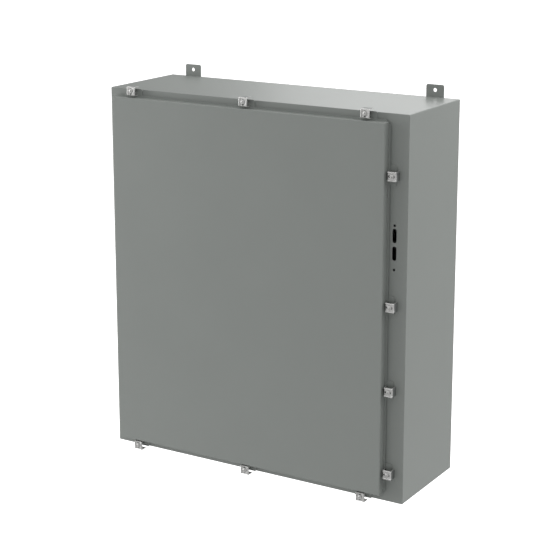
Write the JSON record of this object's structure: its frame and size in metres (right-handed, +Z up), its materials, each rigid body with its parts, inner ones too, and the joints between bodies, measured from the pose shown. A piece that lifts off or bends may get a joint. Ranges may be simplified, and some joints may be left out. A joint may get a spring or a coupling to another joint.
{
  "type": "disconnect enclosure",
  "caption": "Wall-mounted sheet-steel disconnect enclosure: hinged gasketed door held by screw clamps, operator cut-out in the right flange, inner panel and mounting feet.",
  "frame": {"origin": "centre of the four wall bolt holes, on the wall plane at the back of the feet", "axes": "+X to the right seen from the front, -Y out of the wall towards the front, +Z up"},
  "size_m": [0.9494, 0.3352, 1.1354],
  "materials": {
    "grey_paint": "satin grey powder coat, fine even texture",
    "white_paint": "semi-gloss white paint",
    "clamp_steel": "pressed stainless steel, satin",
    "screw_steel": "turned stainless steel, bright",
    "zinc_steel": "zinc-plated steel",
    "seal_foam": "closed-cell foam, matt",
    "pocket_plastic": "moulded grey plastic, fine grain"
  },
  "bodies": {
    "enclosure": {"body_wrap": "grey_paint", "front_frame": "grey_paint", "opening_rim": "grey_paint", "back_panel": "grey_paint", "mounting_foot_top_left": "grey_paint", "mounting_foot_top_right": "grey_paint", "mounting_foot_bottom_left": "grey_paint", "mounting_foot_bottom_right": "grey_paint", "hinge_body_leaf": "grey_paint", "hinge_pin": "zinc_steel", "clamp_brackets_top": "grey_paint", "clamp_brackets_right": "grey_paint", "clamp_brackets_bottom": "grey_paint", "panel_studs": "zinc_steel", "inner_panel": "white_paint", "panel_washers": "zinc_steel", "panel_nuts": "zinc_steel", "body_ground_stud": "zinc_steel", "body_ground_nut": "zinc_steel"},
    "door": {"door_pan": "grey_paint", "door_lip_top": "grey_paint", "door_lip_right": "grey_paint", "door_lip_bottom": "grey_paint", "hinge_door_leaf": "grey_paint", "door_gasket": "seal_foam", "door_stiffener_hinge_side": "grey_paint", "door_stiffener_clamp_side": "grey_paint", "print_pocket": "pocket_plastic", "door_ground_stud": "zinc_steel", "door_ground_nut": "zinc_steel"},
    "clamp_top_1": {"clamp_top_1": "clamp_steel"},
    "clamp_screw_top_1": {"clamp_screw_top_1": "screw_steel"},
    "clamp_top_2": {"clamp_top_2": "clamp_steel"},
    "clamp_screw_top_2": {"clamp_screw_top_2": "screw_steel"},
    "clamp_top_3": {"clamp_top_3": "clamp_steel"},
    "clamp_screw_top_3": {"clamp_screw_top_3": "screw_steel"},
    "clamp_right_1": {"clamp_right_1": "clamp_steel"},
    "clamp_screw_right_1": {"clamp_screw_right_1": "screw_steel"},
    "clamp_right_2": {"clamp_right_2": "clamp_steel"},
    "clamp_screw_right_2": {"clamp_screw_right_2": "screw_steel"},
    "clamp_right_3": {"clamp_right_3": "clamp_steel"},
    "clamp_screw_right_3": {"clamp_screw_right_3": "screw_steel"},
    "clamp_right_4": {"clamp_right_4": "clamp_steel"},
    "clamp_screw_right_4": {"clamp_screw_right_4": "screw_steel"},
    "clamp_bottom_1": {"clamp_bottom_1": "clamp_steel"},
    "clamp_screw_bottom_1": {"clamp_screw_bottom_1": "screw_steel"},
    "clamp_bottom_2": {"clamp_bottom_2": "clamp_steel"},
    "clamp_screw_bottom_2": {"clamp_screw_bottom_2": "screw_steel"},
    "clamp_bottom_3": {"clamp_bottom_3": "clamp_steel"},
    "clamp_screw_bottom_3": {"clamp_screw_bottom_3": "screw_steel"}
  },
  "joints": [
    {"name": "door_hinge", "type": "hinge", "parent": "enclosure", "child": "door", "pos_m": [-0.4576, -0.3133, 0], "axis": [0, 0, -1], "range_deg": [0, 115]},
    {"name": "clamp_top_1_slide", "type": "slide", "parent": "enclosure", "child": "clamp_top_1", "axis": [0, 0, -1], "range_m": [-0.0036, 0.0033]},
    {"name": "clamp_screw_top_1_turn", "type": "hinge", "parent": "enclosure", "child": "clamp_screw_top_1", "pos_m": [-0.3905, -0.3082, 0.52987], "axis": [0, -1, 0], "continuous": true},
    {"name": "clamp_top_2_slide", "type": "slide", "parent": "enclosure", "child": "clamp_top_2", "axis": [0, 0, -1], "range_m": [-0.0036, 0.0033]},
    {"name": "clamp_screw_top_2_turn", "type": "hinge", "parent": "enclosure", "child": "clamp_screw_top_2", "pos_m": [-0.01753, -0.3082, 0.52987], "axis": [0, -1, 0], "continuous": true},
    {"name": "clamp_top_3_slide", "type": "slide", "parent": "enclosure", "child": "clamp_top_3", "axis": [0, 0, -1], "range_m": [-0.0036, 0.0033]},
    {"name": "clamp_screw_top_3_turn", "type": "hinge", "parent": "enclosure", "child": "clamp_screw_top_3", "pos_m": [0.35545, -0.3082, 0.52987], "axis": [0, -1, 0], "continuous": true},
    {"name": "clamp_right_1_slide", "type": "slide", "parent": "enclosure", "child": "clamp_right_1", "axis": [-1, 0, 0], "range_m": [-0.0036, 0.0033]},
    {"name": "clamp_screw_right_1_turn", "type": "hinge", "parent": "enclosure", "child": "clamp_screw_right_1", "pos_m": [0.43615, -0.3082, 0.37157], "axis": [0, -1, 0], "continuous": true},
    {"name": "clamp_right_2_slide", "type": "slide", "parent": "enclosure", "child": "clamp_right_2", "axis": [-1, 0, 0], "range_m": [-0.0036, 0.0033]},
    {"name": "clamp_screw_right_2_turn", "type": "hinge", "parent": "enclosure", "child": "clamp_screw_right_2", "pos_m": [0.43615, -0.3082, 0.01982], "axis": [0, -1, 0], "continuous": true},
    {"name": "clamp_right_3_slide", "type": "slide", "parent": "enclosure", "child": "clamp_right_3", "axis": [-1, 0, 0], "range_m": [-0.0036, 0.0033]},
    {"name": "clamp_screw_right_3_turn", "type": "hinge", "parent": "enclosure", "child": "clamp_screw_right_3", "pos_m": [0.43615, -0.3082, -0.21468], "axis": [0, -1, 0], "continuous": true},
    {"name": "clamp_right_4_slide", "type": "slide", "parent": "enclosure", "child": "clamp_right_4", "axis": [-1, 0, 0], "range_m": [-0.0036, 0.0033]},
    {"name": "clamp_screw_right_4_turn", "type": "hinge", "parent": "enclosure", "child": "clamp_screw_right_4", "pos_m": [0.43615, -0.3082, -0.44917], "axis": [0, -1, 0], "continuous": true},
    {"name": "clamp_bottom_1_slide", "type": "slide", "parent": "enclosure", "child": "clamp_bottom_1", "axis": [0, 0, 1], "range_m": [-0.0036, 0.0033]},
    {"name": "clamp_screw_bottom_1_turn", "type": "hinge", "parent": "enclosure", "child": "clamp_screw_bottom_1", "pos_m": [-0.3905, -0.3082, -0.52987], "axis": [0, -1, 0], "continuous": true},
    {"name": "clamp_bottom_2_slide", "type": "slide", "parent": "enclosure", "child": "clamp_bottom_2", "axis": [0, 0, 1], "range_m": [-0.0036, 0.0033]},
    {"name": "clamp_screw_bottom_2_turn", "type": "hinge", "parent": "enclosure", "child": "clamp_screw_bottom_2", "pos_m": [-0.01753, -0.3082, -0.52987], "axis": [0, -1, 0], "continuous": true},
    {"name": "clamp_bottom_3_slide", "type": "slide", "parent": "enclosure", "child": "clamp_bottom_3", "axis": [0, 0, 1], "range_m": [-0.0036, 0.0033]},
    {"name": "clamp_screw_bottom_3_turn", "type": "hinge", "parent": "enclosure", "child": "clamp_screw_bottom_3", "pos_m": [0.35545, -0.3082, -0.52987], "axis": [0, -1, 0], "continuous": true}
  ]
}
